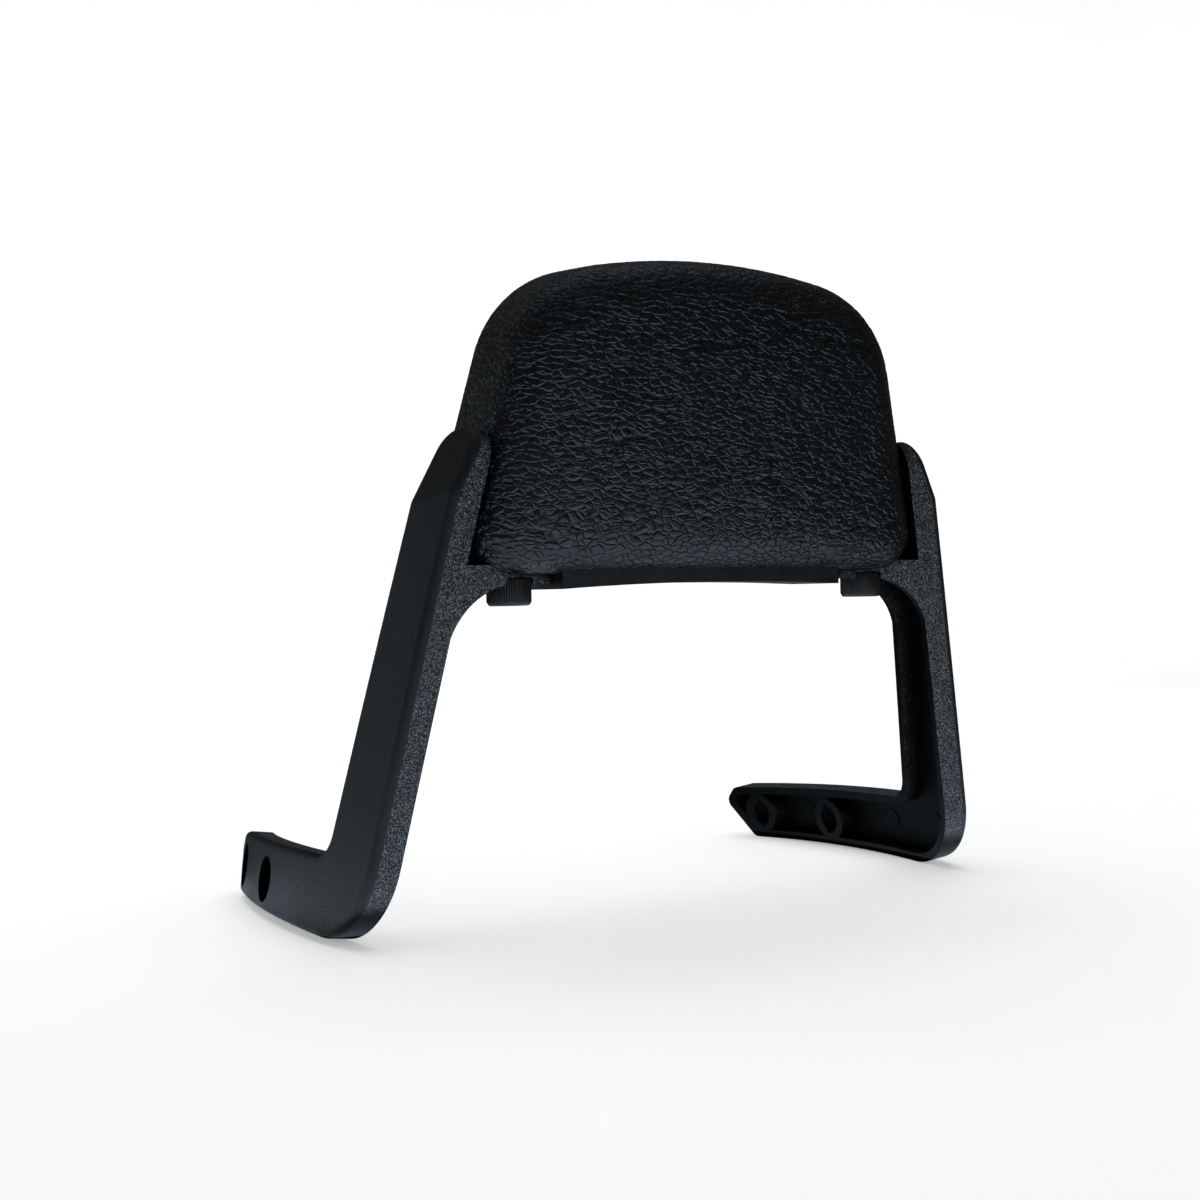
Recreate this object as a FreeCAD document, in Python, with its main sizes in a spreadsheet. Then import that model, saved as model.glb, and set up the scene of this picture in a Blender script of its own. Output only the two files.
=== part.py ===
import FreeCAD, Part
import math
import os
import Sketcher
from FreeCAD import Placement, Rotation, Vector

# Bolt-on backrest: a padded cushion on a hidden moulded carrier, held between two moulded arms.
# Working frame while modelling: X to the right, Y to the rear, Z up from the arms' pivots near the heels,
# with the cushion's face towards -Y. Each arm is made in its own frame (X outward through its wall, Y along
# the foot, Z along the upright), and is then splayed and toed out. At the end the whole piece is tipped
# by level_angle and shifted, so that the feet stand on Z = 0 and the middle of its box is over the origin.

SIZES = {
    # arm, seen from the side
    "arm_lean": 0.16,            # front edge: forward shift per mm of height
    "arm_rear_lean": 0.22,       # rear edge: forward shift per mm of height
    "arm_depth": 29.0,           # side width of the upright at the heel
    "ear_top": 145.5,            # height of the ear's tip along the upright
    "foot_bottom": -1.2,         # underside of the foot, across the upright's foot
    "foot_height": 22.6,         # height of the foot at the upright
    "foot_fall": 0.026,          # drop of the foot's top edge per mm towards the tip
    "foot_length": 130.0,        # front edge to foot tip
    "tip_height": 13.5,          # height of the foot's pointed end
    "tip_top_cut": 5.0,          # length of the upper slope of the tip
    "tip_bottom_cut": 12.0,      # length of the lower slope of the tip
    "heel_radius": 27.0,
    "ankle_radius": 9.0,
    "ear_radius": 8.5,
    "tip_radius": 3.6,
    # arm, wall section
    "arm_width": 9.2,            # from the outer face to the rim
    "wall": 3.0,
    "edge_radius": 2.4,          # rounding of the outer edges
    "bow_radius": 310.0,         # the outer face is bowed along the foot
    "ear_bevel_start": 123.5,    # the ear's outer face slopes in above here
    "ear_bevel_angle": 14.6,
    # arm attitude
    "heel_half_width": 110.0,
    "arm_front": -1.0,
    "splay_angle": 9.9,
    "toe_angle": 11.6,
    # tab under the cushion
    "tab_bottom": 98.0,
    "tab_top": 103.5,
    "tab_length": 40.0,
    "gusset_radius": 22.0,
    # foot fixing holes and moulding marks
    "hole_front": 74.4,
    "hole_rear": 113.0,
    "hole_rise": 8.8,
    "fixing_hole_radius": 4.5,
    "fixing_chamfer": 0.8,
    "boss_radius": 7.8,
    "pocket_radius": 7.25,
    "pocket_depth": 4.0,
    "mark_radius": 3.9,
    "mark_height": 0.3,
    "mark_front": 16.0,          # places of two marks along the foot; a third is between the bosses
    "mark_middle": 44.0,
    "mark_front_rise": 4.0,      # height of each mark above the holes' line
    "mark_middle_rise": 1.6,
    # cap screws and captive nuts
    "screw_offset": 62.6,
    "screw_back": -2.8,
    "screw_seat": 99.9,
    "screw_radius": 4.0,
    "screw_length": 16.0,
    "head_radius": 6.5,
    "head_height": 8.0,
    "head_chamfer": 0.7,
    "edge_break": 0.3,
    "screw_point": 1.0,          # chamfer at the screw's end
    "head_socket": 6.0,
    "socket_depth": 4.0,
    "screw_hole_radius": 4.5,
    "counterbore_radius": 7.2,
    "nut_width": 13.0,
    "nut_height": 6.5,
    "nut_clearance": 0.02,       # between the nut's bore and the screw, on the radius
    "nut_well_gap": 0.1,         # extra width of the nut's seat
    # cushion
    "pad_bottom": 97.9,
    "pad_top": 191.8,
    "pad_half_width": 81.5,      # at the bottom
    "pad_taper": 0.220,          # half width lost per mm of height
    "pad_thickness": 40.4,
    "pad_front": -17.0,
    "pad_lean_angle": 6.6,
    "pad_crown_radius": 205.0,
    "pad_arch": 1.3,             # its lower edge rises by this much in the middle
    "pad_top_corner": 35.0,
    "pad_bottom_corner": 12.6,
    "pad_front_radius": 12.5,
    "pad_rear_radius": 5.0,
    "tab_room_angle": 10.0,      # the notches over the tabs follow the tabs' slanting front
    "tab_room_front": -7.1,      # their front at the inner end of a tab
    "tab_gap": 0.05,             # between the top of a tab and the carrier
    # carrier inside the cushion
    "base_front": -9.8,
    "base_depth": 25.5,
    "base_half_length": 72.0,
    "base_step": 48.7,           # the base is full height between the tabs
    "base_top": 106.0,
    "base_bottom": 96.4,
    "base_arch": 1.3,
    "board_thickness": 4.0,
    "board_front": 3.0,
    "board_half_width": 50.0,
    "board_narrowing": 0.84,     # its top is this much as wide as its foot
    "board_hole_place": 0.55,    # the outer holes, as a share of its half width
    "board_top": 172.0,
    "board_hole_radius": 12.0,
    "collar_radius": 10.5,
    "collar_height": 5.0,
    "joint_depth": 0.5,          # how far the board and the collars reach into the base
    # attitude of the whole piece: the feet stand level
    "level_angle": 2.2,
    "shift_back": -49.806,
    "shift_up": 2.2,
}

doc = FreeCAD.newDocument("backrest")

X_AXIS = Vector(1, 0, 0)
Z_AXIS = Vector(0, 0, 1)
FAR = 400.0                      # longer than the whole piece, for cutting solids
PRISM_WIDTH = 160.0              # width of prisms that pass right across an arm
BORE_LENGTH = 20.0               # longer than any wall, base or tab that a screw passes
ON_SURFACE = 0.02                # how near a point on an edge must be to count as on a face


def make_sheet():
    sheet = doc.addObject("Spreadsheet::Sheet", "sizes")
    for row, (alias, value) in enumerate(SIZES.items(), start=1):
        sheet.set("A%d" % row, alias)
        sheet.set("B%d" % row, str(value))
        sheet.setAlias("B%d" % row, alias)
    doc.recompute()
    return sheet


sheet = make_sheet()


# ---- expressions: <alias> stands for a cell of the sheet ----

def bound(expression):
    return str(expression).replace("<", "sizes.").replace(">", "")


def number(expression):
    return float(sheet.evalExpression(expression.replace("<", "").replace(">", "")))


def bind(obj, **properties):
    for prop, expression in properties.items():
        obj.setExpression(prop.replace("__", "."), bound(expression))
    return obj


# ---- document objects ----

def new_body(name):
    return doc.addObject("PartDesign::Body", name)


def new_sketch(body, role):
    sketch = body.newObject("Sketcher::SketchObject", body.Name + "_sketch")
    plane = next(f for f in body.Origin.OriginFeatures if f.Role == role)
    sketch.AttachmentSupport = [(plane, "")]
    sketch.MapMode = "FlatFace"
    return sketch


def fix_size(sketch, constraint, expression):
    index = sketch.addConstraint(constraint)
    sketch.setExpression("Constraints[%d]" % index, bound(expression))


def outline(sketch, corners, arcs=None):
    """Closed outline through corners, a list of (x, y) expressions. Each side named in arcs by its
    first corner is an arc of that radius, which bulges towards +Y."""
    arcs = arcs or {}
    points = [Vector(number(x), number(y), 0) for x, y in corners]
    following = points[1:] + points[:1]
    for side, (start, end) in enumerate(zip(points, following)):
        if side in arcs:
            radius = number(arcs[side])
            rise = radius - math.sqrt(radius ** 2 - (end - start).Length ** 2 / 4)
            crest = (start + end) / 2 + Vector(0, rise, 0)
            sketch.addGeometry(Part.Arc(start, crest, end), False)
        else:
            sketch.addGeometry(Part.LineSegment(start, end), False)
    ends = []                    # which end of each side is at its first and its second corner
    for side, start in enumerate(points):
        forward = sketch.getPoint(side, 1).distanceToPoint(start) < 1e-6
        ends.append((1, 2) if forward else (2, 1))
    for side, (x, y) in enumerate(corners):
        first = ends[side][0]
        previous = (side - 1) % len(corners)
        sketch.addConstraint(Sketcher.Constraint("Coincident", previous, ends[previous][1], side, first))
        at = sketch.getPoint(side, first)
        fix_size(sketch, Sketcher.Constraint("DistanceX", -1, 1, side, first, at.x), x)
        fix_size(sketch, Sketcher.Constraint("DistanceY", -1, 1, side, first, at.y), y)
    for side, radius in arcs.items():
        fix_size(sketch, Sketcher.Constraint("Radius", side, number(radius)), radius)


def arch_radius(half_span, rise):
    return "(%s^2 + %s^2) / (2 * %s)" % (half_span, rise, rise)


def circle(sketch, x, y, radius):
    centre = Vector(number(x), number(y), 0)
    index = sketch.addGeometry(Part.Circle(centre, Z_AXIS, number(radius)), False)
    fix_size(sketch, Sketcher.Constraint("DistanceX", -1, 1, index, 3, centre.x), x)
    fix_size(sketch, Sketcher.Constraint("DistanceY", -1, 1, index, 3, centre.y), y)
    fix_size(sketch, Sketcher.Constraint("Radius", index, number(radius)), radius)


def pad(body, length, midplane=False, reverse=False):
    feature = body.newObject("PartDesign::Pad", body.Name + "_pad")
    feature.Profile = next(o for o in body.Group if o.isDerivedFrom("Sketcher::SketchObject"))
    feature.SideType = "Symmetric" if midplane else "One side"
    feature.Reversed = reverse
    bind(feature, Length=length)
    doc.recompute()
    return feature


def round_edges(body, radius, test):
    """Fillet the edges of the body's tip whose middle passes test(point, direction)."""
    base = body.Tip
    names = []
    for index, edge in enumerate(base.Shape.Edges, start=1):
        middle = (edge.FirstParameter + edge.LastParameter) / 2
        if test(edge.valueAt(middle), edge.tangentAt(middle)):
            names.append("Edge%d" % index)
    feature = body.newObject("PartDesign::Fillet", body.Name + "_round")
    feature.Base = (base, names)
    bind(feature, Radius=radius)
    doc.recompute()
    return feature


def combine(kind, name, *parts):
    """Part::Cut or Part::Common of two objects, or Part::MultiFuse of several."""
    result = doc.addObject("Part::" + kind, name)
    if kind == "MultiFuse":
        result.Shapes = list(parts)
    else:
        result.Base, result.Tool = parts
    return result


def cylinder(name, radius, height, base=Vector(), direction=Z_AXIS):
    solid = bind(doc.addObject("Part::Cylinder", name), Radius=radius, Height=height)
    solid.Placement = Placement(base, Rotation(Z_AXIS, direction))
    return solid


def cone(name, radius1, radius2, height, base, direction):
    solid = bind(doc.addObject("Part::Cone", name), Radius1=radius1, Radius2=radius2, Height=height)
    solid.Placement = Placement(base, Rotation(Z_AXIS, direction))
    return solid


def box(name, length, width, height):
    return bind(doc.addObject("Part::Box", name), Length=length, Width=width, Height=height)


# ---- attitude ----

SPLAY = number("<splay_angle>")
TOE = number("<toe_angle>")
LEVEL = Placement(Vector(0, number("<shift_back>"), number("<shift_up>")),
                  Rotation(X_AXIS, number("<level_angle>")))
ARM_AT = Placement(Vector(number("<heel_half_width>"), number("<arm_front>"), 0),
                   Rotation(Z_AXIS, -TOE) * Rotation(Vector(0, 1, 0), -SPLAY))


# ---- arm ----

def outline_places():
    """Corners of the arm's side outline, along the foot and up the upright, from the heel on."""
    return [
        ("0", "<foot_bottom>"),
        ("<foot_length> - <tip_bottom_cut>", "<foot_bottom>"),
        ("<foot_length>", "<tip_height>"),
        ("<foot_length> - <tip_top_cut>", "<foot_height> - <foot_fall> * (<foot_length> - <tip_top_cut>)"),
        ("(<arm_depth> - <arm_rear_lean> * <foot_height>) / (1 - <arm_rear_lean> * <foot_fall>)",
         "<foot_height> - <foot_fall> * <arm_depth>"),
        ("<arm_depth> - <arm_rear_lean> * <ear_top>", "<ear_top>"),
        ("-<arm_lean> * <ear_top>", "<ear_top>"),
    ]


def corner_radii(inset):
    """Radius of each outline corner; the one at the ankle is hollow and grows with the inset."""
    heel, ankle, ear, tip = [number("<%s_radius>" % k) for k in ("heel", "ankle", "ear", "tip")]
    radii = [heel - inset, tip - inset, tip - inset, tip - inset, ankle + inset, ear - inset, ear - inset]
    return [max(r, 0) for r in radii]


def arm_prism(name, line, inset):
    """Prism across the arm from an outline, with its corners rounded."""
    prism = doc.addObject("Part::Extrusion", name + "_prism")
    prism.Base = line
    prism.DirMode = "Custom"
    prism.Dir = X_AXIS
    prism.LengthFwd = PRISM_WIDTH
    prism.Solid = True
    prism.Symmetric = True
    doc.recompute()
    corners = [Vector(0, number(y), number(z)) for y, z in outline_places()]
    rounds = []
    for i, edge in enumerate(prism.Shape.Edges, start=1):
        if abs(edge.tangentAt(edge.FirstParameter).x) < 0.99:
            continue
        place = edge.valueAt(edge.FirstParameter)
        place.x = 0
        gaps = [place.distanceToPoint(c) for c in corners]
        radius = corner_radii(inset)[gaps.index(min(gaps))]
        if radius > 0:
            rounds.append((i, radius, radius))
    rounded = doc.addObject("Part::Fillet", name)
    rounded.Base = prism
    rounded.Edges = rounds
    return rounded


def arm_prisms():
    """The arm's side outline as a solid prism, and the same hollowed to a wall all round."""
    line = doc.addObject("Sketcher::SketchObject", "arm_line")
    line.Placement = Placement(Vector(), Rotation(Vector(0, 1, 0), Z_AXIS, X_AXIS, "ZXY"))
    outline(line, outline_places())
    inner_line = doc.addObject("Part::Offset2D", "arm_inner_line")
    inner_line.Source = line
    inner_line.Join = 2
    bind(inner_line, Value="-<wall>")
    doc.recompute()
    solid = arm_prism("arm_outer", line, 0)
    hollow = arm_prism("arm_inner", inner_line, number("<wall>"))
    return solid, combine("Cut", "arm_walls", solid, hollow)


def bow(name, inset):
    """Tall cylinder whose side is the bowed outer face, or lies inset inside it."""
    radius = "<bow_radius> - (%s)" % inset
    return cylinder(name, radius, FAR, Vector(-number("<bow_radius>"), 0, -FAR / 4))


def tab_block(name, corners, fillet=None):
    """Prism across the arm's depth with an outline in the plane of its width and height."""
    body = new_body(name)
    outline(new_sketch(body, "XZ_Plane"), corners)
    pad(body, PRISM_WIDTH, midplane=True)
    if fillet:
        place = [number(e) for e in corners[fillet[0]]]
        round_edges(body, fillet[1], lambda point, direction: abs(direction.y) > 0.99
                    and abs(point.x - place[0]) < 0.5 and abs(point.z - place[1]) < 0.5)
    return body


def level_line(height, across):
    """Height along the upright at which a level plane passes, at a place across the arm."""
    return "(%s - (%s) * sin(<splay_angle> * 1 deg)) / cos(<splay_angle> * 1 deg)" % (height, across)


def gusset():
    skin = "-<wall> / 2"
    rim = "-<arm_width>"
    end = "-<tab_length>"
    corners = [
        (skin, "<tab_bottom> - 2 * <gusset_radius>"),
        (skin, level_line("<tab_top>", skin)),
        (end, level_line("<tab_top>", end)),
        (end, level_line("<tab_bottom>", end)),
        (rim, level_line("<tab_bottom>", rim)),
        (rim, "<tab_bottom> - 2 * <gusset_radius>"),
    ]
    return tab_block("arm_gusset", corners, fillet=(4, "<gusset_radius>"))


def tab_plate():
    skin = "-<wall> / 2"
    end = "-<tab_length>"
    corners = [
        (skin, level_line("<tab_bottom>", skin)),
        (skin, level_line("<tab_top>", skin)),
        (end, level_line("<tab_top>", end)),
        (end, level_line("<tab_bottom>", end)),
    ]
    return tab_block("arm_tab", corners)


def fixing_places():
    rise = number("<hole_rise>")
    return [Vector(0, number("<%s>" % hole), rise) for hole in ("hole_front", "hole_rear")]


def face_depth(along):
    """How far the bowed outer face has come inward at a place along the foot."""
    radius = number("<bow_radius>")
    return radius - math.sqrt(radius ** 2 - along ** 2)


def foot_bosses(layer):
    """Round bosses from the wall to the rim, one round each fixing hole."""
    inward = -X_AXIS
    bosses = []
    for i, place in enumerate(fixing_places()):
        rod = cylinder("boss_rod_%d" % i, "<boss_radius>", FAR, place, inward)
        bosses.append(combine("Common", "boss_%d" % i, layer, rod))
    return bosses


def ejector_marks():
    """Low round pads on the wall's inner side, between and beside the bosses."""
    between = (number("<hole_front>") + number("<hole_rear>")) / 2
    rise = number("<hole_rise>")
    places = [Vector(0, between, rise)]
    for mark in ("mark_middle", "mark_front"):
        places.append(Vector(0, number("<%s>" % mark), rise + number("<%s_rise>" % mark)))
    layer = combine("Cut", "mark_layer", bow("mark_layer_outer", "<wall> / 2"),
                    bow("mark_layer_inner", "<wall> + <mark_height>"))
    rods = [cylinder("mark_%d" % i, "<mark_radius>", FAR, place, -X_AXIS)
            for i, place in enumerate(places)]
    return combine("Common", "marks", combine("MultiFuse", "mark_rods", *rods), layer)


def fixing_holes():
    """What is cut at each fixing hole: the hole, its rim chamfer and the outer pocket."""
    cuts = []
    pockets = []
    width = number("<arm_width>")
    for i, place in enumerate(fixing_places()):
        inward = -X_AXIS
        rim = place - X_AXIS * (face_depth(place.y) + width)
        cuts.append(cylinder("hole_%d" % i, "<fixing_hole_radius>", FAR, place, inward))
        cuts.append(cone("chamfer_%d" % i, "<fixing_hole_radius>",
                         "<fixing_hole_radius> + 2 * <fixing_chamfer>", "2 * <fixing_chamfer>",
                         rim + X_AXIS * number("<fixing_chamfer>"), inward))
        pockets.append(cylinder("pocket_rod_%d" % i, "<pocket_radius>", FAR, place, inward))
    pocket = combine("Cut", "pockets", combine("MultiFuse", "pocket_rods", *pockets),
                     bow("pocket_floor", "<pocket_depth>"))
    return combine("MultiFuse", "fixing_cuts", pocket, *cuts)


def ear_bevel(name, inset):
    """Half space outside the ear's sloping face, or outside a face lying inset within it."""
    block = box(name, FAR, FAR, FAR)
    turn = Rotation(Vector(0, 1, 0), -number("<ear_bevel_angle>"))
    start = Vector(0, 0, number("<ear_bevel_start>"))
    middle = Placement(Vector(0, -FAR / 2, -FAR / 2), Rotation())
    block.Placement = Placement(start - turn.multVec(X_AXIS) * inset, turn) * middle
    return block


def outer_edges(shape):
    """Edges of the bowed outer face and of the ear's bevel, to be rounded."""
    radius = number("<bow_radius>")
    turn = Rotation(Vector(0, 1, 0), -number("<ear_bevel_angle>"))
    normal = turn.multVec(X_AXIS)
    start = Vector(0, 0, number("<ear_bevel_start>"))
    found = []
    for i, edge in enumerate(shape.Edges, start=1):
        points = [edge.valueAt(edge.FirstParameter + (edge.LastParameter - edge.FirstParameter) * f)
                  for f in (0.02, 0.5, 0.98)]
        on_bow = all(abs(math.hypot(p.x + radius, p.y) - radius) < ON_SURFACE for p in points)
        on_bevel = all(abs((p - start).dot(normal)) < ON_SURFACE for p in points)
        if on_bow == on_bevel:
            continue
        on_pocket = any((Vector(0, points[1].y, points[1].z) - hole).Length < number("<pocket_radius>") + 0.1
                        for hole in fixing_places())
        if not on_pocket:
            found.append(i)
    return found


def make_arm():
    profile, walls = arm_prisms()
    outside = combine("Cut", "arm_outside", bow("bow_outer", "0"), ear_bevel("ear_face", 0))
    inside = combine("Cut", "arm_inside", bow("bow_wall", "<wall>"), ear_bevel("ear_wall", number("<wall>")))
    layer = combine("Cut", "arm_layer", outside, bow("bow_inner", "<arm_width>"))
    skin = combine("Cut", "arm_skin", layer, inside)
    gusset_walls = combine("Common", "gusset_walls", walls, gusset())
    tab = combine("Common", "tab", profile, tab_plate())
    web = combine("Common", "web", profile, combine("MultiFuse", "web_parts", skin, *foot_bosses(layer)))
    rims = combine("Common", "rims", walls, layer)
    blank = combine("MultiFuse", "arm_blank", web, rims, gusset_walls, tab, ejector_marks())
    blank.Refine = True
    bevelled = combine("Common", "arm_bevelled", blank, outside)
    bevelled.Refine = True
    doc.recompute()
    rounded = doc.addObject("Part::Fillet", "arm_rounded")
    rounded.Base = bevelled
    radius = number("<edge_radius>")
    rounded.Edges = [(i, radius, radius) for i in outer_edges(bevelled.Shape)]
    doc.recompute()
    drilled = combine("Cut", "arm_drilled", rounded, fixing_holes())
    drilled.Placement = ARM_AT
    seat = Vector(number("<screw_offset>"), number("<screw_back>"), number("<screw_seat>"))
    bore = combine("MultiFuse", "tab_bore",
                   cylinder("tab_hole", "<screw_hole_radius>", BORE_LENGTH, seat - Z_AXIS * BORE_LENGTH / 2),
                   cylinder("tab_counterbore", "<counterbore_radius>", BORE_LENGTH,
                            seat - Z_AXIS * BORE_LENGTH))
    arm = combine("Cut", "right_arm", drilled, bore)
    arm.Label = "right_arm"
    arm.Placement = LEVEL
    mirror = doc.addObject("Part::Mirroring", "left_arm")
    mirror.Source = arm
    mirror.Normal = X_AXIS
    mirror.Label = "left_arm"
    return [arm, mirror]


# ---- cap screws and captive nuts ----

def make_screw(side, name):
    seat = Vector(side * number("<screw_offset>"), number("<screw_back>"), number("<screw_seat>"))
    body = new_body(name)
    sketch = new_sketch(body, "XZ_Plane")
    corners = [
        ("0", "-<head_height>"), ("<head_radius> - <head_chamfer>", "-<head_height>"),
        ("<head_radius>", "-<head_height> + <head_chamfer>"), ("<head_radius>", "-<edge_break>"),
        ("<head_radius> - <edge_break>", "0"), ("<screw_radius>", "0"),
        ("<screw_radius>", "<screw_length> - <screw_point>"),
        ("<screw_radius> - <screw_point>", "<screw_length>"), ("0", "<screw_length>"),
    ]
    outline(sketch, corners)
    turned = body.newObject("PartDesign::Revolution", name + "_turned")
    turned.Profile = sketch
    turned.ReferenceAxis = (sketch, ["V_Axis"])
    turned.Angle = 360
    doc.recompute()
    socket = new_sketch(body, "XY_Plane")
    bind(socket, AttachmentOffset__Base__z="-<head_height>")
    hexagon(socket, "<head_socket>")
    recess = body.newObject("PartDesign::Pocket", name + "_recess")
    recess.Profile = socket
    recess.Reversed = True
    bind(recess, Length="<socket_depth>")
    doc.recompute()
    body.Label = name
    body.Placement = LEVEL * Placement(seat, Rotation())
    return body


def hexagon(sketch, width):
    """Regular hexagon about the origin, width across its flats."""
    corners = []
    for i in range(6):
        angle = 60 * i + 30
        corners.append(("%s / sqrt(3) * cos(%d deg)" % (width, angle),
                        "%s / sqrt(3) * sin(%d deg)" % (width, angle)))
    outline(sketch, corners)


def make_nut(side, name):
    seat = Vector(side * number("<screw_offset>"), number("<screw_back>"), number("<base_top>"))
    body = new_body(name)
    sketch = new_sketch(body, "XY_Plane")
    hexagon(sketch, "<nut_width>")
    circle(sketch, "0", "0", "<screw_radius> + <nut_clearance>")
    pad(body, "<nut_height>")
    body.Label = name
    body.Placement = LEVEL * Placement(seat, Rotation())
    return body


# ---- carrier ----

def make_carrier():
    base = new_body("carrier_base")
    over_tab = "<tab_top> + <tab_gap>"
    corners = [
        ("-<base_half_length>", over_tab), ("-<base_step>", over_tab),
        ("-<base_step>", "<base_bottom>"), ("<base_step>", "<base_bottom>"),
        ("<base_step>", over_tab), ("<base_half_length>", over_tab),
        ("<base_half_length>", "<base_top>"), ("-<base_half_length>", "<base_top>"),
    ]
    outline(new_sketch(base, "XZ_Plane"), corners, {2: arch_radius("<base_step>", "<base_arch>")})
    pad(base, "<base_depth>", reverse=True)
    base.Placement = Placement(Vector(0, number("<base_front>"), 0), Rotation())

    board = new_body("carrier_board")
    sketch = new_sketch(board, "XZ_Plane")
    corners = [
        ("-<board_half_width>", "<base_top> - <joint_depth>"),
        ("<board_half_width>", "<base_top> - <joint_depth>"),
        ("<board_half_width> * <board_narrowing>", "<board_top>"),
        ("-<board_half_width> * <board_narrowing>", "<board_top>"),
    ]
    outline(sketch, corners)
    for side in (-1, 0, 1):
        circle(sketch, "%d * <board_hole_place> * <board_half_width>" % side,
               "(<base_top> + <board_top>) / 2", "<board_hole_radius>")
    pad(board, "<board_thickness>", reverse=True)
    foot = Vector(0, number("<board_front>"), number("<base_top>"))
    lean = Placement(foot, Rotation(X_AXIS, number("<pad_lean_angle>")))
    board.Placement = lean * Placement(-Z_AXIS * foot.z, Rotation())

    collars = []
    cuts = []
    for side in (-1, 1):
        place = Vector(side * number("<screw_offset>"), number("<screw_back>"), number("<base_top>"))
        tag = "left" if side < 0 else "right"
        collars.append(cylinder(tag + "_collar", "<collar_radius>", "<collar_height> + <joint_depth>",
                                place - Z_AXIS * number("<joint_depth>")))
        well = new_body(tag + "_nut_well")
        hexagon(new_sketch(well, "XY_Plane"), "(<nut_width> + <nut_well_gap>)")
        pad(well, BORE_LENGTH)
        well.Placement = Placement(place, Rotation())
        cuts.append(well)
        cuts.append(cylinder(tag + "_carrier_hole", "<screw_hole_radius>", BORE_LENGTH,
                             place - Z_AXIS * BORE_LENGTH / 2))
    whole = combine("MultiFuse", "carrier_whole", base, board, *collars)
    carrier = combine("Cut", "cushion_carrier", whole, combine("MultiFuse", "carrier_cuts", *cuts))
    carrier.Label = "cushion_carrier"
    carrier.Placement = LEVEL
    return carrier, whole, cuts


# ---- cushion ----

def tab_room(side):
    """Notch over one tab: all that is under the tab's top and behind its slanting front."""
    size = number("<pad_half_width>")
    room = box("right_tab_room" if side > 0 else "left_tab_room", size, size, size)
    reach = 0 if side > 0 else -size
    start = Vector(side * (number("<base_step>") - 1), number("<tab_room_front>"),
                   number("<tab_top> + <tab_gap>"))
    slant = Rotation(Z_AXIS, -side * number("<tab_room_angle>"))
    room.Placement = Placement(start, slant) * Placement(Vector(reach, 0, -size), Rotation())
    return room


def make_pad(carrier_whole, carrier_wells):
    body = new_body("pad_block")
    height = "(<pad_top> - <pad_bottom>)"
    top_half = "(<pad_half_width> - <pad_taper> * %s)" % height
    shoulder = "(<pad_crown_radius> - sqrt(<pad_crown_radius>^2 - %s^2))" % top_half
    corners = [
        ("-<pad_half_width>", "0"), ("<pad_half_width>", "0"),
        (top_half, "%s - %s" % (height, shoulder)), ("-%s" % top_half, "%s - %s" % (height, shoulder)),
    ]
    arcs = {0: arch_radius("<pad_half_width>", "<pad_arch>"), 2: "<pad_crown_radius>"}
    outline(new_sketch(body, "XZ_Plane"), corners, arcs)
    pad(body, "<pad_thickness>", reverse=True)
    middle = number(height) / 2

    def across(above):
        return lambda point, direction: abs(direction.y) > 0.99 and (point.z > middle) == above

    def at_depth(depth):
        return lambda point, direction: abs(point.y - depth) < 0.01

    round_edges(body, "<pad_top_corner>", across(True))
    round_edges(body, "<pad_bottom_corner>", across(False))
    round_edges(body, "<pad_front_radius>", at_depth(0))
    round_edges(body, "<pad_rear_radius>", at_depth(number("<pad_thickness>")))
    foot = Vector(0, number("<pad_front>"), number("<pad_bottom>"))
    body.Placement = Placement(foot, Rotation(X_AXIS, number("<pad_lean_angle>")))

    cuts = combine("MultiFuse", "pad_cuts", carrier_whole, *carrier_wells, tab_room(1), tab_room(-1))
    cushion = combine("Cut", "cushion_pad", body, cuts)
    cushion.Label = "cushion_pad"
    cushion.Placement = LEVEL
    return cushion


# ---- build, test and write ----

def check(parts):
    doc.recompute()
    for obj in doc.Objects:
        if "Invalid" in obj.State or "Error" in obj.State:
            raise RuntimeError("%s failed: %s" % (obj.Label, obj.State))
    for obj in parts:
        if obj.Shape.isNull() or not obj.Shape.isValid():
            raise RuntimeError("%s has no valid shape" % obj.Label)


def write(parts):
    os.makedirs("parts", exist_ok=True)
    for obj in parts:
        obj.Shape.exportStep("parts/%s.step" % obj.Label)
        bounds = obj.Shape.BoundBox
        print("%-20s solids %d volume %.1f cm3  X %.1f..%.1f Y %.1f..%.1f Z %.1f..%.1f" % (
            obj.Label, len(obj.Shape.Solids), obj.Shape.Volume / 1000,
            bounds.XMin, bounds.XMax, bounds.YMin, bounds.YMax, bounds.ZMin, bounds.ZMax))


def main():
    parts = make_arm()
    carrier, carrier_whole, carrier_wells = make_carrier()
    parts.append(carrier)
    for side, tag in ((-1, "left"), (1, "right")):
        parts.append(make_screw(side, tag + "_cap_screw"))
        parts.append(make_nut(side, tag + "_captive_nut"))
    parts.append(make_pad(carrier_whole, carrier_wells))
    check(parts)
    write(parts)


main()
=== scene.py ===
import math

import bmesh
import bpy
import numpy as np
from mathutils import Euler, Matrix, Vector


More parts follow.
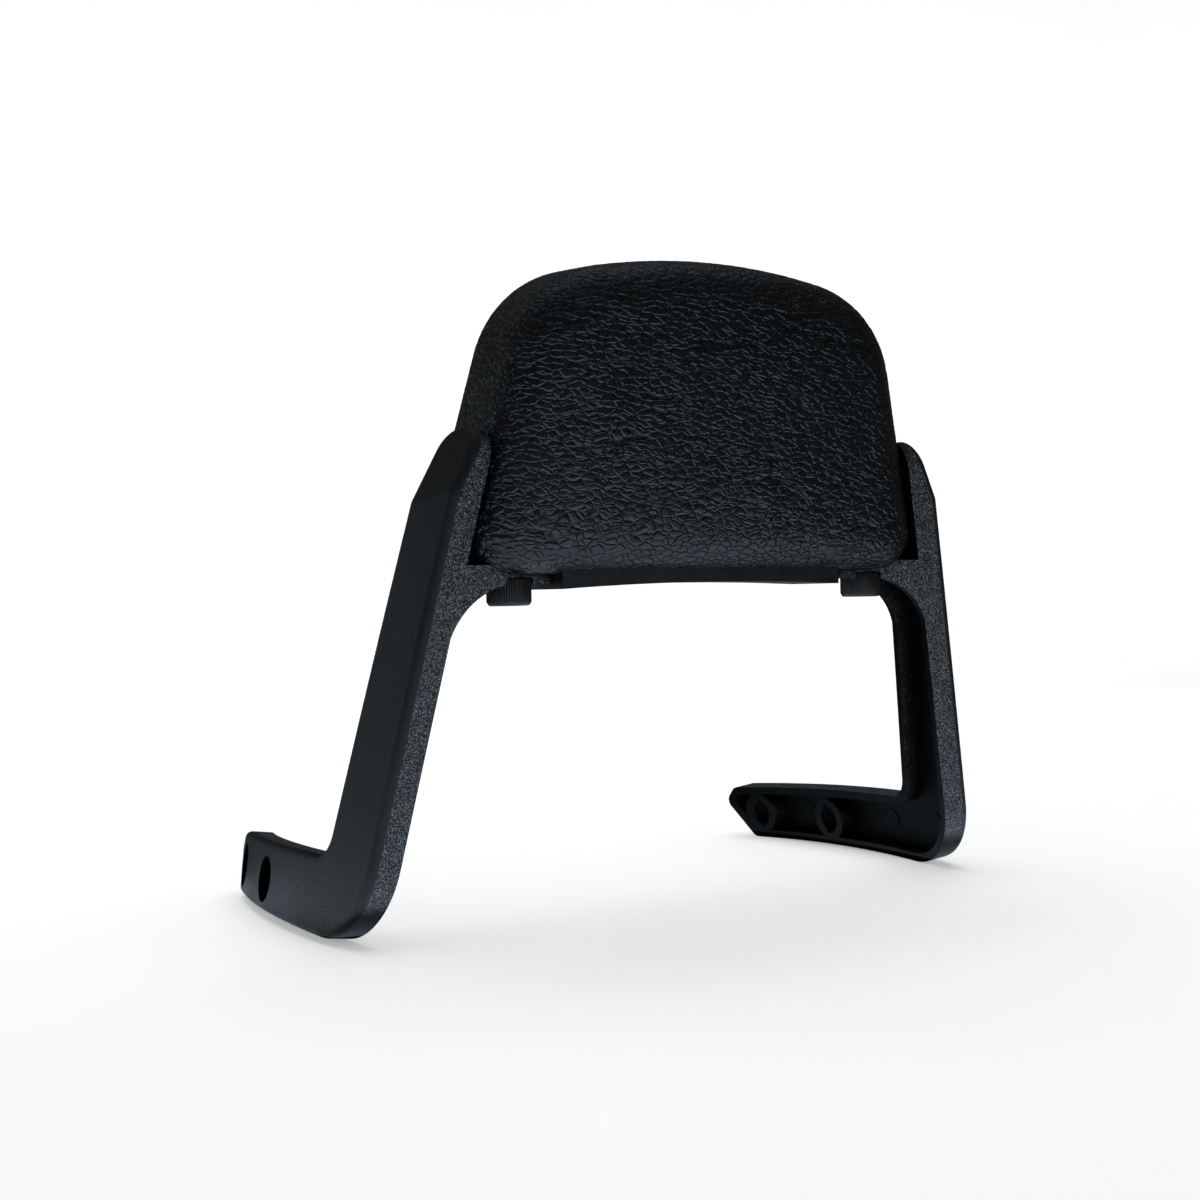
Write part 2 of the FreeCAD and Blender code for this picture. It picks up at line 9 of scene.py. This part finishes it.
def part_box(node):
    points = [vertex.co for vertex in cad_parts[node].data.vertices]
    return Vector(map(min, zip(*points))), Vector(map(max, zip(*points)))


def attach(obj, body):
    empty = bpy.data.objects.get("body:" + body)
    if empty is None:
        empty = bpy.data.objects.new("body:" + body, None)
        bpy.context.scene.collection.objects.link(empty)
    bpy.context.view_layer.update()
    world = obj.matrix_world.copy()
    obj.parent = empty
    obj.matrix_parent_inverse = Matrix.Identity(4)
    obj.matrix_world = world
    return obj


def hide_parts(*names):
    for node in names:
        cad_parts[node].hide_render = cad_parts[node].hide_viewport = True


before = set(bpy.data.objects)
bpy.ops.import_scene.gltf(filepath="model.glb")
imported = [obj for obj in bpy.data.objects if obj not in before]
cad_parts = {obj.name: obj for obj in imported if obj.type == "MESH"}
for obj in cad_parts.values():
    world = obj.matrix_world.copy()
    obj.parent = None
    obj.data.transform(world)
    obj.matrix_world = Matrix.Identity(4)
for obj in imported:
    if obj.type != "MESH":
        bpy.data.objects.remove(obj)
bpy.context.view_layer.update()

scene = bpy.context.scene

# ---------------------------------------------------------------- view and stage

CAMERA_AT = (-0.23807, -0.44702, 0.08311)
CAMERA_TURN = (91.298, 2.289, -28.173)      # degrees
CAMERA_LENS = 44.83                         # mm, on a 36 mm sensor
CAMERA_SHIFT = (-0.01245, 0.00479)
FLOOR_FLAT = 1.6                            # radius of the flat floor, where its edge starts to curve up
FLOOR_CURVE = 0.9                           # radius of that curve
FLOOR_WALL = 1.6                            # height of the wall that follows it
FLOOR_TURNS = 96                            # points round the floor
COOL = (0.72, 0.88, 1.0)                    # light on the object
PLAIN = (1.0, 1.0, 1.0)                     # light on the floor


def make_camera():
    data = bpy.data.cameras.new("view")
    data.sensor_width = 36.0
    data.lens = CAMERA_LENS
    data.shift_x, data.shift_y = CAMERA_SHIFT
    data.clip_start = 0.01
    camera = bpy.data.objects.new("view", data)
    camera.location = CAMERA_AT
    camera.rotation_euler = Euler([math.radians(a) for a in CAMERA_TURN])
    scene.collection.objects.link(camera)
    scene.camera = camera


def link(name, mesh):
    obj = bpy.data.objects.new(name, mesh)
    scene.collection.objects.link(obj)
    return obj


def make_floor(material):
    """A pale floor that curves up into a low wall all round, far from the object."""
    profile = [(0.0, 0.0), (FLOOR_FLAT, 0.0)]
    for a in np.linspace(0.1, math.pi / 2, 14):
        profile.append((FLOOR_FLAT + FLOOR_CURVE * math.sin(a), FLOOR_CURVE * (1 - math.cos(a))))
    profile.append((FLOOR_FLAT + FLOOR_CURVE, FLOOR_WALL))
    mesh = bmesh.new()
    centre = mesh.verts.new((0, 0, 0))
    rings = []
    for radius, height in profile[1:]:
        ring = []
        for i in range(FLOOR_TURNS):
            angle = 2 * math.pi * i / FLOOR_TURNS
            ring.append(mesh.verts.new((radius * math.cos(angle), radius * math.sin(angle), height)))
        rings.append(ring)
    for i in range(FLOOR_TURNS):
        j = (i + 1) % FLOOR_TURNS
        mesh.faces.new((centre, rings[0][i], rings[0][j]))
        for low, high in zip(rings, rings[1:]):
            mesh.faces.new((low[i], high[i], high[j], low[j]))
    data = bpy.data.meshes.new("floor")
    mesh.to_mesh(data)
    mesh.free()
    for polygon in data.polygons:
        polygon.use_smooth = True
    data.materials.append(material)
    floor = link("floor", data)
    floor.visible_glossy = False


def area_light(name, place, target, size, power, seen_in_gloss=True, tint=COOL):
    data = bpy.data.lights.new(name, "AREA")
    data.shape = "RECTANGLE"
    data.size, data.size_y = size
    data.energy = power
    data.color = tint
    light = bpy.data.objects.new(name, data)
    light.location = place
    light.rotation_euler = (Vector(target) - Vector(place)).to_track_quat("-Z", "Y").to_euler()
    light.visible_camera = False
    light.visible_glossy = seen_in_gloss
    scene.collection.objects.link(light)


def make_lights():
    """The first two light the floor, and the object's gloss does not see them. The object mirrors a glow on
    the floor under and before it, a card above it and a card behind it on its left."""
    area_light("overhead", (0.1, 0.25, 1.6), (0, 0.1, 0), (1.8, 1.8), 17, False, PLAIN)
    area_light("backdrop", (0.2, 0.9, 1.5), (0.4, 2.2, 0.3), (2.4, 0.7), 12, False, PLAIN)
    area_light("table_glow", (-0.08, -0.13, 0.002), (-0.08, -0.13, 1.0), (0.50, 0.46), 1.0)
    area_light("top_card", (0.1, 0.2, 1.5), (0, 0, 0.1), (1.4, 1.2), 1.9)
    area_light("left_card", (-0.85, 1.1, 0.3), (0, 0, 0.1), (0.9, 0.55), 0.8)
    world = bpy.data.worlds.new("studio")
    scene.world = world
    world.use_nodes = True
    background = world.node_tree.nodes["Background"]
    background.inputs["Color"].default_value = (1, 1, 1, 1)
    background.inputs["Strength"].default_value = 0.05
    scene.view_settings.view_transform = "Standard"


# ---------------------------------------------------------------- materials

class Nodes:
    """Short calls for building a tree of nodes, of a material or of a mesh's geometry."""

    def __init__(self, tree):
        self.tree = tree
        self.place = None

    def add(self, kind, **values):
        node = self.tree.nodes.new(kind)
        for key, value in values.items():
            setattr(node, key, value)
        return node

    def feed(self, socket, value):
        if hasattr(value, "is_linked"):
            self.tree.links.new(value, socket)
        else:
            socket.default_value = value

    def math(self, operation, a, b=0.0, clamp=False):
        node = self.add("ShaderNodeMath", operation=operation, use_clamp=clamp)
        self.feed(node.inputs[0], a)
        self.feed(node.inputs[1], b)
        return node.outputs[0]

    def vector_math(self, operation, a, b):
        node = self.add("ShaderNodeVectorMath", operation=operation)
        self.feed(node.inputs[0], a)
        self.feed(node.inputs[1], b)
        return node.outputs[0]

    def turned(self, vector, centre, angle):
        """The vector turned about X."""
        node = self.add("ShaderNodeVectorRotate", rotation_type="X_AXIS")
        self.feed(node.inputs["Vector"], vector)
        node.inputs["Center"].default_value = centre
        node.inputs["Angle"].default_value = angle
        return node.outputs[0]

    def parts(self, vector):
        node = self.add("ShaderNodeSeparateXYZ")
        self.feed(node.inputs[0], vector)
        return node.outputs

    def noise(self, scale, detail=2.0, roughness=0.5, vector=None, output="Fac"):
        node = self.add("ShaderNodeTexNoise")
        self.feed(node.inputs["Vector"], vector or self.place)
        node.inputs["Scale"].default_value = scale
        node.inputs["Detail"].default_value = detail
        node.inputs["Roughness"].default_value = roughness
        return node.outputs[output]

    def voronoi(self, scale, feature="F1", vector=None):
        node = self.add("ShaderNodeTexVoronoi", feature=feature)
        self.feed(node.inputs["Vector"], vector or self.place)
        node.inputs["Scale"].default_value = scale
        return node.outputs["Distance"]

    def span(self, value, low, high, to_low, to_high, smooth=False):
        node = self.add("ShaderNodeMapRange")
        node.interpolation_type = "SMOOTHSTEP" if smooth else "LINEAR"
        self.feed(node.inputs["Value"], value)
        for key, number in zip(("From Min", "From Max", "To Min", "To Max"), (low, high, to_low, to_high)):
            node.inputs[key].default_value = number
        return node.outputs["Result"]

    def ramp(self, value, stops):
        node = self.add("ShaderNodeValToRGB")
        self.feed(node.inputs["Fac"], value)
        elements = node.color_ramp.elements
        while len(elements) < len(stops):
            elements.new(0.5)
        for element, (position, colour) in zip(elements, stops):
            element.position = position
            element.color = (*colour, 1)
        return node.outputs["Color"]

    def blend(self, factor, a, b):
        node = self.add("ShaderNodeMix", data_type="FLOAT")
        self.feed(node.inputs["Factor"], factor)
        self.feed(node.inputs[2], a)
        self.feed(node.inputs[3], b)
        return node.outputs[0]


class Material(Nodes):
    """One material's nodes, around its Principled shader."""

    def __init__(self, name):
        self.material = bpy.data.materials.new(name)
        self.material.use_nodes = True
        super().__init__(self.material.node_tree)
        self.shader = self.tree.nodes["Principled BSDF"]
        self.place = self.add("ShaderNodeTexCoord").outputs["Object"]

    def mix(self, factor, a, b):
        node = self.add("ShaderNodeMix", data_type="RGBA")
        self.feed(node.inputs["Factor"], factor)
        self.feed(node.inputs[6], a if hasattr(a, "is_linked") else (*a, 1))
        self.feed(node.inputs[7], b if hasattr(b, "is_linked") else (*b, 1))
        return node.outputs[2]

    def facing(self, direction):
        """How squarely the surface faces a direction of the shared frame."""
        node = self.add("ShaderNodeVectorMath", operation="DOT_PRODUCT")
        self.feed(node.inputs[0], self.add("ShaderNodeNewGeometry").outputs["Normal"])
        node.inputs[1].default_value = direction
        return node.outputs["Value"]

    def openness(self, distance):
        """How open the surroundings of the place are, from 0 deep in a pocket to 1 on an open face."""
        node = self.add("ShaderNodeAmbientOcclusion", samples=8)
        node.inputs["Distance"].default_value = distance
        return node.outputs["AO"]

    def bump(self, height, distance, strength=1.0, under=None):
        node = self.add("ShaderNodeBump")
        node.inputs["Distance"].default_value = distance
        self.feed(node.inputs["Strength"], strength)
        self.feed(node.inputs["Height"], height)
        if under is not None:
            self.feed(node.inputs["Normal"], under)
        return node.outputs["Normal"]

    def finish(self, colour, roughness, normal, **values):
        self.feed(self.shader.inputs["Base Color"], colour)
        self.feed(self.shader.inputs["Roughness"], roughness)
        self.feed(self.shader.inputs["Normal"], normal)
        for key, value in values.items():
            self.feed(self.shader.inputs[key.replace("_", " ")], value)
        return self.material


STIPPLE_SCALE = 2300.0           # noise scale of the stipple on the arms' edges
STIPPLE_DEPTH = 0.0004
POCKET_REACH = 0.014             # walls nearer than this shade a place as a pocket


def floor_material():
    """A pale translucent table top, softly lit from beneath."""
    n = Material("pale_floor")
    tone = n.noise(3.0, 3.0)
    colour = n.ramp(tone, [(0.3, (0.80, 0.80, 0.80)), (0.7, (0.83, 0.83, 0.825))])
    n.shader.inputs["Emission Color"].default_value = (1, 1, 1, 1)
    n.shader.inputs["Emission Strength"].default_value = 0.35
    return n.finish(colour, n.span(tone, 0.3, 0.7, 0.6, 0.7), n.bump(n.noise(900.0), 0.00005))


def nylon_material(name, axis):
    """Black glass-filled nylon. The edges, whose surfaces run along the axis across the arm's wall, have a
    stipple whose bright specks are painted glints; the outer face is smoother; the pockets and the inner side
    are painted dark as shade, and dull."""
    n = Material(name)
    edge = n.span(n.math("ABSOLUTE", n.facing(axis)), 0.06, 0.22, 1.0, 0.0, smooth=True)
    # painted shade: surfaces that face inward, towards the cushion, are painted near-black
    inward_shade = n.span(n.facing(axis), -0.60, -0.20, 1.0, 0.0, smooth=True)
    # painted shade: places hemmed in by near walls, found by ambient occlusion, are painted near-black
    pocket_shade = n.span(n.openness(POCKET_REACH), 0.70, 0.93, 1.0, 0.0)
    inside = n.math("MAXIMUM", inward_shade, pocket_shade)
    stipple = n.noise(STIPPLE_SCALE, 2.0, 0.6)
    fine = n.noise(5200.0, 2.0, 0.6)
    swell = n.noise(620.0, 2.0, 0.5)
    cloud = n.noise(45.0, 4.0, 0.6)
    plain = n.ramp(cloud, [(0.25, (0.0040, 0.0050, 0.0056)), (0.75, (0.0075, 0.0090, 0.0100))])
    # painted highlight: the bright specks stand in for glints of light off the stipple, over its real texture
    glint_speck = n.span(stipple, 0.50, 0.60, 0.0, 1.0)
    stipple_and_glints = n.mix(glint_speck, (0.0008, 0.0010, 0.0012), (0.090, 0.101, 0.110))
    # the near-black laid over the inner side and the pockets is painted shade
    colour = n.mix(inside, n.mix(edge, plain, stipple_and_glints), (0.0008, 0.0010, 0.0011))
    rough = n.math("ADD", n.span(cloud, 0.3, 0.7, 0.42, 0.54), n.math("MULTIPLY", edge, -0.04))
    # the painted shade also turns the gloss down
    gloss = n.span(inside, 0.0, 1.0, 0.25, 0.03)
    relief = n.math("ADD", n.math("MULTIPLY", edge, 0.60), 0.40)
    normal = n.bump(stipple, STIPPLE_DEPTH, relief)
    normal = n.bump(fine, 0.00005, 0.6, under=normal)
    normal = n.bump(swell, 0.00016, 0.7, under=normal)
    return n.finish(colour, rough, normal, Specular_IOR_Level=gloss)


def carrier_material():
    """Near-black nylon of the carrier, gently uneven."""
    n = Material("carrier_nylon")
    cloud = n.noise(60.0, 4.0, 0.6)
    colour = n.ramp(cloud, [(0.3, (0.0010, 0.0011, 0.0012)), (0.7, (0.0022, 0.0024, 0.0026))])
    normal = n.bump(n.noise(1500.0, 3.0, 0.6), 0.00012, 0.8)
    normal = n.bump(n.noise(160.0, 3.0, 0.6), 0.0004, 0.5, under=normal)
    return n.finish(colour, n.span(cloud, 0.3, 0.7, 0.38, 0.55), normal)


def cushion_material():
    """Leather-grained skin: the same cells and folds as the mesh, sharper, with wrinkles and pores between.
    Its gloss fades towards the foot of the cushion."""
    n = Material("cushion_skin")
    cells, folds, front, rise = leather_grain(n)
    height = n.math("MULTIPLY", cells, folds)
    pores = n.noise(2600.0, 3.0, 0.6)
    crumbs = n.voronoi(780.0, "SMOOTH_F1")
    cloud = n.noise(28.0, 4.0, 0.55)
    ink = n.ramp(cloud, [(0.25, (0.0012, 0.0022, 0.0033)), (0.75, (0.0022, 0.0036, 0.0052))])
    # painted shade: the creases and folds are painted near-black, darker than the skin's own tone
    colour = n.mix(n.span(height, 0.0, 0.8, 0.0, 1.0), (0.0005, 0.0008, 0.0011), ink)
    rough = n.math("ADD", n.span(cloud, 0.3, 0.7, 0.27, 0.33), n.span(pores, 0.3, 0.7, -0.03, 0.05))
    normal = n.bump(n.math("MULTIPLY", height, n.blend(front, 1.7, 1.0)), GRAIN_BUMP)
    normal = n.bump(crumbs, 0.00004, 0.6, under=normal)
    normal = n.bump(pores, 0.00004, 0.6, under=normal)
    gloss = n.span(rise, 0.002, 0.018, 0.24, 0.5, smooth=True)
    return n.finish(colour, rough, normal, Specular_IOR_Level=gloss)


def black_steel_material():
    n = Material("black_oxide_steel")
    cloud = n.noise(220.0, 3.0, 0.6)
    colour = n.ramp(cloud, [(0.3, (0.010, 0.010, 0.011)), (0.7, (0.022, 0.021, 0.021))])
    normal = n.bump(n.noise(2600.0, 2.0, 0.5), 0.00003, 0.5)
    return n.finish(colour, n.span(cloud, 0.3, 0.7, 0.28, 0.42), normal, Metallic=0.6)


def zinc_material():
    n = Material("zinc_steel")
    cloud = n.noise(300.0, 3.0, 0.6)
    colour = n.ramp(cloud, [(0.3, (0.50, 0.50, 0.51)), (0.7, (0.62, 0.62, 0.64))])
    normal = n.bump(n.noise(1800.0), 0.00003)
    return n.finish(colour, n.span(cloud, 0.3, 0.7, 0.28, 0.42), normal, Metallic=1.0)


# ---------------------------------------------------------------- cushion

LEAN = math.radians(8.8)         # of the cushion's top towards the front
PAD_DEPTH = 0.0404
FRONT_ROUND = 0.0125             # radius round the face, and round the back
REAR_ROUND = 0.005
PAD_HALF_WIDTH = 0.0815          # at the foot of the cushion
PAD_TAPER = 0.22                 # half width lost per unit of height
PAD_HEIGHT = 0.0939
PAD_ARCH = 0.0013                # rise of the lower edge in the middle
TOP_RADIUS = 0.205               # of the outline's top
CORNER_SOFTNESS = 0.004          # how softly the outline's sides meet
CROWN_REACH = 0.040              # the face falls back within this distance of the outline
CROWN_DEPTH = 0.0022
FACE_REACH = 0.024               # depth behind the foot at which the crown fades out
VOXEL = 0.00082                  # of the even mesh the grain is sunk into
SOFTENING = 8                    # rounds of smoothing of that mesh
GRAIN_BUMP = 0.00022
FACE_DEPTH = 0.00018             # depth of the creases on the face, and on the sides
SIDE_DEPTH = 0.00007
FOLD_DEPTH = 0.00018
DRIFT = (0.0036, 0.0036, 0.0036)             # how far slow and quick noises bend the grain
RAGGEDNESS = (0.0012, 0.0012, 0.0012)
FACE_CELLS = (300.0, 310.0, 590.0)           # cells per metre across, in depth and up
SIDE_CELLS = (430.0, 430.0, 520.0)
LONG_FOLDS = (20.0, 20.0, 130.0)
HALF = (0.5, 0.5, 0.5)                       # mean of a noise


def pad_foot():
    """Middle of the lower front edge of the cushion's block, where its own frame stands: the cushion leans
    forward, so its foremost point is on the upper front round and its highest on the upper rear round."""
    low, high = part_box("cushion_pad")
    ahead = (PAD_HEIGHT - FRONT_ROUND) * math.sin(LEAN) + FRONT_ROUND * (1 - math.cos(LEAN))
    rise = (PAD_DEPTH - REAR_ROUND) * math.sin(LEAN) + (PAD_HEIGHT - REAR_ROUND) * math.cos(LEAN) + REAR_ROUND
    return Vector((0, low.y + ahead, high.z - rise))


def leather_grain(n):
    """The cushion's grain, alike in a material and in geometry nodes. Returns the height of the cells and of
    the long folds, from 0 in a crease to 1, how much the place belongs to the front face, and its height
    above the cushion's foot."""
    foot = pad_foot()
    local = n.vector_math("SUBTRACT", n.turned(n.place, foot, -LEAN), foot)
    across, depth, height = n.parts(local)
    front = n.span(depth, 0.0060, 0.0130, 1.0, 0.0, smooth=True)
    middle = n.math("MULTIPLY", front, n.span(height, 0.082, 0.100, 1.0, 0.0, smooth=True))
    drift = n.vector_math("SUBTRACT", n.noise(95.0, 1.0, 0.5, local, "Color"), HALF)
    ragged = n.vector_math("SUBTRACT", n.noise(420.0, 1.0, 0.5, local, "Color"), HALF)
    bent = n.vector_math("ADD", local, n.vector_math("MULTIPLY", drift, DRIFT))
    bent = n.vector_math("ADD", bent, n.vector_math("MULTIPLY", ragged, RAGGEDNESS))
    wide = n.voronoi(1.0, "DISTANCE_TO_EDGE", n.vector_math("MULTIPLY", bent, FACE_CELLS))
    small = n.voronoi(1.0, "DISTANCE_TO_EDGE", n.vector_math("MULTIPLY", bent, SIDE_CELLS))
    wide = n.span(wide, 0.0, 0.15, 0.0, 1.0)
    small = n.span(small, 0.0, 0.26, 0.0, 1.0, smooth=True)
    cells = n.blend(middle, small, wide)
    long_noise = n.noise(1.0, 2.0, 0.5, n.vector_math("MULTIPLY", bent, LONG_FOLDS))
    crease = n.span(n.math("ABSOLUTE", n.math("SUBTRACT", long_noise, 0.5)), 0.0, 0.028, 0.0, 1.0)
    where = n.span(n.noise(34.0, 1.0, 0.5, local), 0.47, 0.60, 0.0, 1.0, smooth=True)
    where = n.math("MULTIPLY", where, middle)
    folds = n.math("SUBTRACT", 1.0, n.math("MULTIPLY", where, n.math("SUBTRACT", 1.0, crease)))
    return cells, folds, front, height


def grain_tree():
    """Geometry nodes that sink the creases of the grain into a mesh."""
    tree = bpy.data.node_groups.new("leather_grain", "GeometryNodeTree")
    tree.interface.new_socket("Geometry", in_out="INPUT", socket_type="NodeSocketGeometry")
    tree.interface.new_socket("Geometry", in_out="OUTPUT", socket_type="NodeSocketGeometry")
    n = Nodes(tree)
    source = n.add("NodeGroupInput")
    result = n.add("NodeGroupOutput")
    n.place = n.add("GeometryNodeInputPosition").outputs[0]
    cells, folds, front, _ = leather_grain(n)
    depth = n.blend(front, SIDE_DEPTH, FACE_DEPTH)
    cut = n.math("MULTIPLY", n.math("SUBTRACT", cells, 1.0), depth)
    cut = n.math("ADD", cut, n.math("MULTIPLY", n.math("SUBTRACT", folds, 1.0), FOLD_DEPTH))
    scale = n.add("ShaderNodeVectorMath", operation="SCALE")
    n.feed(scale.inputs[0], n.add("GeometryNodeInputNormal").outputs[0])
    n.feed(scale.inputs["Scale"], cut)
    move = n.add("GeometryNodeSetPosition")
    n.feed(move.inputs["Geometry"], source.outputs[0])
    n.feed(move.inputs["Offset"], scale.outputs[0])
    n.feed(result.inputs[0], move.outputs[0])
    return tree


def smooth_step(value, low, high):
    part = np.clip((value - low) / (high - low), 0, 1)
    return part * part * (3 - 2 * part)


def applied(obj):
    """The object's mesh with its modifiers applied, which are then taken off it."""
    bpy.context.view_layer.update()
    graph = bpy.context.evaluated_depsgraph_get()
    data = bpy.data.meshes.new_from_object(obj.evaluated_get(graph))
    obj.modifiers.clear()
    obj.data = data
    return data


def edge_distance(across, height):
    """How far inside the cushion's outline each place of its face is, with soft corners."""
    side = (PAD_HALF_WIDTH - PAD_TAPER * height - np.abs(across)) * math.cos(math.atan(PAD_TAPER))
    top = PAD_HEIGHT - across ** 2 / (2 * TOP_RADIUS) - height
    bottom = height - PAD_ARCH * (1 - (across / PAD_HALF_WIDTH) ** 2)
    gaps = np.stack([side, top, bottom])
    return -CORNER_SOFTNESS * np.log(np.exp(-np.clip(gaps, -0.01, 0.2) / CORNER_SOFTNESS).sum(axis=0))


def crown(data):
    """Draws the edges of the cushion's face back, so that it is full in the middle."""
    points = np.empty(len(data.vertices) * 3, np.float32)
    data.vertices.foreach_get("co", points)
    points = points.reshape(-1, 3)
    foot = np.array(pad_foot())
    turn = np.array(Matrix.Rotation(LEAN, 3, "X"))
    local = (points - foot) @ turn
    inside = edge_distance(local[:, 0], local[:, 2])
    face = 1 - smooth_step(local[:, 1], 0.0, FACE_REACH)
    near = 1 - np.clip(inside / CROWN_REACH, 0, 1)
    local[:, 1] += face * CROWN_DEPTH * near ** 2.4
    data.vertices.foreach_set("co", (local @ turn.T + foot).astype(np.float32).ravel())


def make_cushion(material):
    """The cushion's own solid, meshed evenly, softened at its edges, crowned and grained."""
    obj = link("cushion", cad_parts["cushion_pad"].data.copy())
    remesh = obj.modifiers.new("even", "REMESH")
    remesh.mode = "VOXEL"
    remesh.voxel_size = VOXEL
    smooth = obj.modifiers.new("soft_edges", "SMOOTH")
    smooth.iterations = SOFTENING
    smooth.factor = 0.5
    crown(applied(obj))
    obj.modifiers.new("grain", "NODES").node_group = grain_tree()
    data = applied(obj)
    data.polygons.foreach_set("use_smooth", [True] * len(data.polygons))
    data.materials.clear()
    data.materials.append(material)
    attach(obj, "root")
    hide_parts("cushion_pad")


# ---------------------------------------------------------------- cap screws

SCREW_TILT = math.radians(2.2)
HEAD_RADIUS = 0.0065
HEAD_HEIGHT = 0.008
SCREW_RADIUS = 0.004
SCREW_LENGTH = 0.024             # head and thread
SOCKET_FLATS = 0.006
SOCKET_DEPTH = 0.004
THREAD_PITCH = 0.00125
KNURLS = 54
SCREW_TURNS = 216                # points round the screw
KNURL_DEPTH = 0.00028
HEAD_CHAMFER = 0.0007
THREAD_DEPTH = 0.0007
TIP = 0.0002                     # radius of the smallest ring, round the axis
SHARP = math.radians(40)         # edges that turn more than this are drawn sharp


def knurl(angle):
    """Radius of the knurled head: rounded ridges with narrow grooves."""
    return HEAD_RADIUS - KNURL_DEPTH * (1 - abs(math.sin(KNURLS * angle / 2))) ** 1.5


def hexagon(angle):
    """Radius of the hexagon socket."""
    part = (angle + math.pi / 6) % (math.pi / 3) - math.pi / 6
    return SOCKET_FLATS / 2 / math.cos(part)


def thread(angle, height):
    """Radius of the helical thread."""
    phase = (height / THREAD_PITCH - angle / (2 * math.pi)) % 1.0
    return SCREW_RADIUS - THREAD_DEPTH * (1 - abs(2 * phase - 1))


def screw_rings():
    """Rings of the cap screw, from the bottom of its socket, round its head and up its thread. Each is a
    height along its axis and a radius for each angle."""
    yield SOCKET_DEPTH + 0.0008, lambda a: TIP
    yield SOCKET_DEPTH, hexagon
    yield 0.0004, hexagon
    yield 0.0, lambda a: hexagon(a) + 0.0004
    yield 0.0, lambda a: HEAD_RADIUS - 0.0011
    yield 0.0002, lambda a: HEAD_RADIUS - 0.0006
    yield 0.0007, lambda a: HEAD_RADIUS - 0.0003
    yield 0.0012, knurl
    yield HEAD_HEIGHT - 0.0006, knurl
    yield HEAD_HEIGHT - 0.0001, lambda a: HEAD_RADIUS - 0.0005
    yield HEAD_HEIGHT, lambda a: HEAD_RADIUS - 0.0008
    yield HEAD_HEIGHT, lambda a: SCREW_RADIUS
    for height in np.arange(HEAD_HEIGHT + 0.001, SCREW_LENGTH - 0.001, THREAD_PITCH / 5):
        yield height, lambda a, height=height: thread(a, height)
    yield SCREW_LENGTH, lambda a: SCREW_RADIUS - 0.001
    yield SCREW_LENGTH, lambda a: TIP


def make_screw(side, material):
    """A knurled cap screw with a hexagon socket below, standing where the part's plain one stands."""
    low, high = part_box(side + "_cap_screw")
    foot = Vector(((low.x + high.x) / 2, (low.y + high.y) / 2 + HEAD_HEIGHT / 2 * math.sin(SCREW_TILT),
                   low.z + (HEAD_RADIUS - HEAD_CHAMFER) * math.sin(SCREW_TILT)))
    place = Matrix.Translation(foot) @ Matrix.Rotation(SCREW_TILT, 4, "X")
    mesh = bmesh.new()
    rings = []
    for height, radius in screw_rings():
        ring = []
        for i in range(SCREW_TURNS):
            angle = 2 * math.pi * i / SCREW_TURNS
            reach = radius(angle)
            point = Vector((reach * math.cos(angle), reach * math.sin(angle), height))
            ring.append(mesh.verts.new(place @ point))
        rings.append(ring)
    for near, far in zip(rings, rings[1:]):
        for i in range(SCREW_TURNS):
            j = (i + 1) % SCREW_TURNS
            mesh.faces.new((near[i], near[j], far[j], far[i]))
    mesh.faces.new(rings[0])
    mesh.faces.new(rings[-1])
    bmesh.ops.recalc_face_normals(mesh, faces=mesh.faces)
    data = bpy.data.meshes.new(side + "_knurled_screw")
    mesh.to_mesh(data)
    mesh.free()
    data.polygons.foreach_set("use_smooth", [True] * len(data.polygons))
    data.set_sharp_from_angle(angle=SHARP)
    data.materials.append(material)
    piece = link(side + "_knurled_screw", data)
    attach(piece, "root")
    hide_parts(side + "_cap_screw")


# ---------------------------------------------------------------- arms and nuts

TOE = math.radians(11.6)         # turn of an arm about the vertical
SPLAY = math.radians(9.9)        # its lean outward
LEVEL = math.radians(2.2)        # tilt of both arms and the cushion together


def across_arm(side):
    """Direction across the wall of an arm, outward."""
    outward = Vector((side, 0, 0))
    outward.rotate(Euler((0, -side * SPLAY, 0)))
    outward.rotate(Euler((0, 0, -side * TOE)))
    outward.rotate(Euler((LEVEL, 0, 0)))
    return outward


def dress(node, material):
    """Gives a part of the frame a material."""
    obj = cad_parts[node]
    obj.data.materials.clear()
    obj.data.materials.append(material)


# ---------------------------------------------------------------- main

make_camera()
make_lights()
make_floor(floor_material())

dress("right_arm", nylon_material("right_arm_nylon", across_arm(1)))
dress("left_arm", nylon_material("left_arm_nylon", across_arm(-1)))
dress("cushion_carrier", carrier_material())
steel = black_steel_material()
zinc = zinc_material()
for side in ("left", "right"):
    make_screw(side, steel)
    dress(side + "_captive_nut", zinc)
make_cushion(cushion_material())
